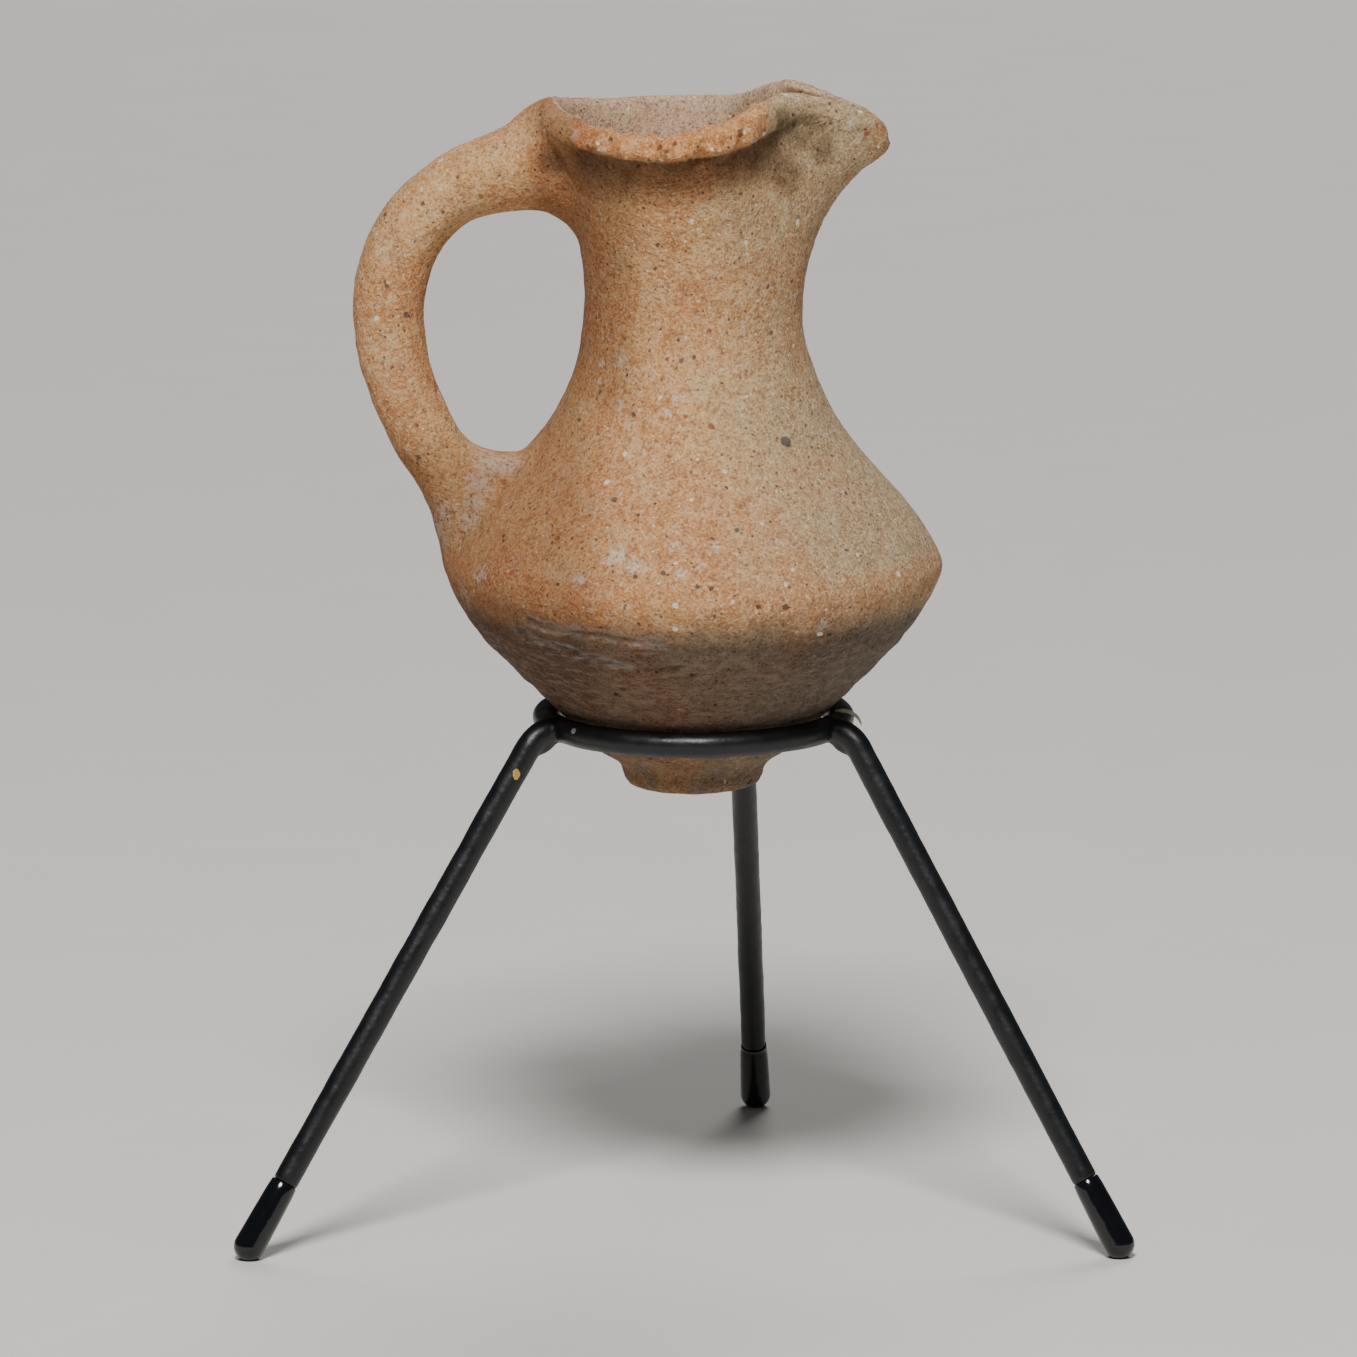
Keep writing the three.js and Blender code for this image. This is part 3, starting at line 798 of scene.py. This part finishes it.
bump = add(tree, "ShaderNodeBump", {"Height": coat_height, "Distance": mm, "Strength": 1.0})
tree.links.new(bump, shader.inputs["Normal"])
stand.data.materials.clear()
stand.data.materials.append(coating)
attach(stand, "root")
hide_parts("tripod_stand")


# Lifted coating: a sliver of the dip has peeled off the ring by the right leg and curls up, pale
# underneath. It is a few tenths of a millimetre thick and still hangs on by one end.
curl_root = Vector((17.9, -4.9, 10.2))
curl_length, curl_thickness, curl_width = 0.35, 0.2, 0.45
curl_steps = [
    (0.6, -0.05, 0.15), (0.7, -0.05, -0.05), (0.7, 0, -0.35), (0.65, 0.1, -0.6), (0.35, 0.2, -0.8),
]
curl_growth = 1.08
curl_edge = 0.05
smear_size = 0.6
bpy.ops.object.select_all(action="DESELECT")
end = pot_foot + curl_root * mm
bpy.ops.mesh.primitive_cube_add(size=mm, location=end)
curl = bpy.context.object
curl.name = "peeled_coating_sliver"
curl.scale = (curl_length, curl_thickness, curl_width)
bpy.ops.object.transform_apply(location=True, rotation=True, scale=True)
bpy.ops.object.mode_set(mode="EDIT")
bpy.ops.mesh.select_mode(type="FACE")
bpy.ops.mesh.select_all(action="DESELECT")
bpy.ops.object.mode_set(mode="OBJECT")
for face in curl.data.polygons:
    face.select = face.normal.x > 0.9
bpy.ops.object.mode_set(mode="EDIT")
for step in curl_steps:
    end = end + Vector(step) * mm
    extrude(Vector(step) * mm, curl_growth, end)
bpy.ops.object.mode_set(mode="OBJECT")
finish_with(curl, "BEVEL", width=curl_edge * mm, segments=2, limit_method="ANGLE")
finish_with(curl, "SUBSURF", levels=2, render_levels=2)
bpy.ops.object.shade_smooth()
skin = bpy.data.materials.new("pale_underside_of_coating")
skin.use_nodes = True
tree = skin.node_tree
shader = tree.nodes["Principled BSDF"]
at = add(tree, "ShaderNodeTexCoord", output=3)
smears = add(tree, "ShaderNodeTexNoise", {"Vector": at, "Scale": 1 / (smear_size * mm), "Detail": 3})
colour = add(tree, "ShaderNodeMix", {0: smears, 6: linear("#A9A08A"), 7: linear("#DDD4BE")},
             output=2, data_type="RGBA")
tree.links.new(colour, shader.inputs["Base Color"])
shader.inputs["Roughness"].default_value = 0.55
curl.data.materials.append(skin)
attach(curl, "root")


# Leg caps: the end of each leg is dipped once more in soft vinyl, a glossy round-ended sleeve over
# bare wire. It starts as a thin film on the coating, thickens to the toe, and is flat underneath.
cap_mouth_radius = 1.68
cap_film_length = 1.2
cap_bore_radius = 1.4
cap_end_thickness = 1.4
cap_toe_radius = 0.985 * cap_radius
cap_edge = 0.1
cap_sides = 48
cap_round_steps = 12
floor_gap = 0.01
wave_size, wave_height = 3.5, 0.15

vinyl = bpy.data.materials.new("black_vinyl_dipped_glossy")
vinyl.use_nodes = True
tree = vinyl.node_tree
shader = tree.nodes["Principled BSDF"]
at = add(tree, "ShaderNodeTexCoord", output=3)
place = add(tree, "ShaderNodeMapping", {"Vector": at, "Scale": (1 / mm,) * 3})
waves = add(tree, "ShaderNodeTexNoise", {
    "Vector": place, "Scale": 1 / wave_size, "Detail": 2, "Roughness": 0.5,
})
colour = add(tree, "ShaderNodeMix", {0: waves, 6: linear("#06070A"), 7: linear("#0E0F14")},
             output=2, data_type="RGBA")
tree.links.new(colour, shader.inputs["Base Color"])
shader.inputs["Roughness"].default_value = 0.14
shader.inputs["IOR"].default_value = 1.53
ripple = add(tree, "ShaderNodeMath", {0: waves, 1: wave_height}, operation="MULTIPLY")
bump = add(tree, "ShaderNodeBump", {"Height": ripple, "Distance": mm, "Strength": 1.0})
tree.links.new(bump, shader.inputs["Normal"])

for name in legs:
    start, elbow, toe, down = leg_line(name)
    sleeve = cap_length - cap_radius
    profile = [
        (sleeve - cap_edge, cap_bore_radius),
        (sleeve, cap_bore_radius + cap_edge),
        (sleeve, cap_mouth_radius - cap_edge),
        (sleeve - 1.2 * cap_edge, cap_mouth_radius),
        (sleeve - cap_film_length, cap_mouth_radius + cap_edge),
        (sleeve / 2, 0.4 * cap_mouth_radius + 0.6 * cap_radius),
        (0, cap_toe_radius),
    ]
    for step in range(1, cap_round_steps):
        angle = math.pi / 2 * step / cap_round_steps
        profile.append((-cap_toe_radius * math.sin(angle), cap_toe_radius * math.cos(angle)))
    bpy.ops.object.select_all(action="DESELECT")
    bpy.ops.mesh.primitive_circle_add(
        vertices=cap_sides,
        radius=cap_bore_radius * mm,
        fill_type="NGON",
        location=(0, 0, cap_end_thickness * mm),
    )
    cap = bpy.context.object
    cap.name = f"dipped_cap_{name}"
    bpy.ops.object.transform_apply(location=True, rotation=True, scale=True)
    bpy.ops.object.mode_set(mode="EDIT")
    bpy.ops.mesh.select_all(action="SELECT")
    level, width = cap_end_thickness, cap_bore_radius
    for next_level, next_width in profile:
        extrude((0, 0, (next_level - level) * mm), next_width / width, (0, 0, next_level * mm))
        level, width = next_level, next_width
    bpy.ops.mesh.select_all(action="SELECT")
    bpy.ops.mesh.normals_make_consistent(inside=False)
    bpy.ops.object.mode_set(mode="OBJECT")
    cap.rotation_mode = "QUATERNION"
    cap.rotation_quaternion = Vector((0, 0, -1)).rotation_difference(down)
    cap.location = toe
    only(cap)
    bpy.ops.object.transform_apply(location=True, rotation=True, scale=True)
    cap.rotation_mode = "XYZ"
    bpy.ops.object.mode_set(mode="EDIT")
    bpy.ops.mesh.select_all(action="SELECT")
    bpy.ops.mesh.bisect(
        plane_co=(0, 0, floor_gap * mm),
        plane_no=(0, 0, 1),
        threshold=0.001 * mm,
        clear_inner=True,
        use_fill=True,
    )
    bpy.ops.object.mode_set(mode="OBJECT")
    bpy.ops.object.shade_smooth_by_angle(angle=math.radians(40))
    cap.data.materials.append(vinyl)
    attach(cap, "root")
    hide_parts(f"foot_cap_{name}")


# Floor: a plain pale board under the tripod, wide enough to fill the view
floor_half_width = 4
floor_set_back = 1
bpy.ops.object.select_all(action="DESELECT")
bpy.ops.mesh.primitive_plane_add(size=2 * floor_half_width, location=(0, floor_set_back, 0))
floor = bpy.context.object
floor.name = "studio_floor"
bpy.ops.object.transform_apply(location=True, rotation=True, scale=True)
table = bpy.data.materials.new("pale_matt_board")
table.use_nodes = True
tree = table.node_tree
shader = tree.nodes["Principled BSDF"]
at = add(tree, "ShaderNodeTexCoord", output=3)
fibres = add(tree, "ShaderNodeTexNoise", {"Vector": at, "Scale": 40.0, "Detail": 3})
colour = add(tree, "ShaderNodeMix", {0: fibres, 6: linear("#D6D3CD"), 7: linear("#DBD8D2")},
             output=2, data_type="RGBA")
tree.links.new(colour, shader.inputs["Base Color"])
shader.inputs["Roughness"].default_value = 0.9
floor.data.materials.append(table)


# Light: a large soft lamp high in front, one that keeps the board behind pale, and an even room
def soft_lamp(name, spot, size, power, aim):
    """A round lamp of so many metres and watts, turned to what it lights."""
    lamp = bpy.data.lights.new(name, "AREA")
    lamp.shape = "DISK"
    lamp.size = size
    lamp.energy = power
    holder = bpy.data.objects.new(name, lamp)
    bpy.context.scene.collection.objects.link(holder)
    holder.location = spot
    holder.rotation_euler = (Vector(spot) - aim).to_track_quat("Z", "Y").to_euler()


middle_of_pot = pot_foot + Vector((0, 0, 45 * mm))
soft_lamp("key", spot=(-0.08, -0.95, 1.3), size=0.45, power=30, aim=middle_of_pot)
soft_lamp("behind", spot=(0.3, 1.6, 1.6), size=1.2, power=22, aim=Vector((0, 1.2, 0)))
world = bpy.data.worlds.new("pale_room")
world.use_nodes = True
world.node_tree.nodes["Background"].inputs["Color"].default_value = linear("#D8DADD")
world.node_tree.nodes["Background"].inputs["Strength"].default_value = 0.1
bpy.context.scene.world = world
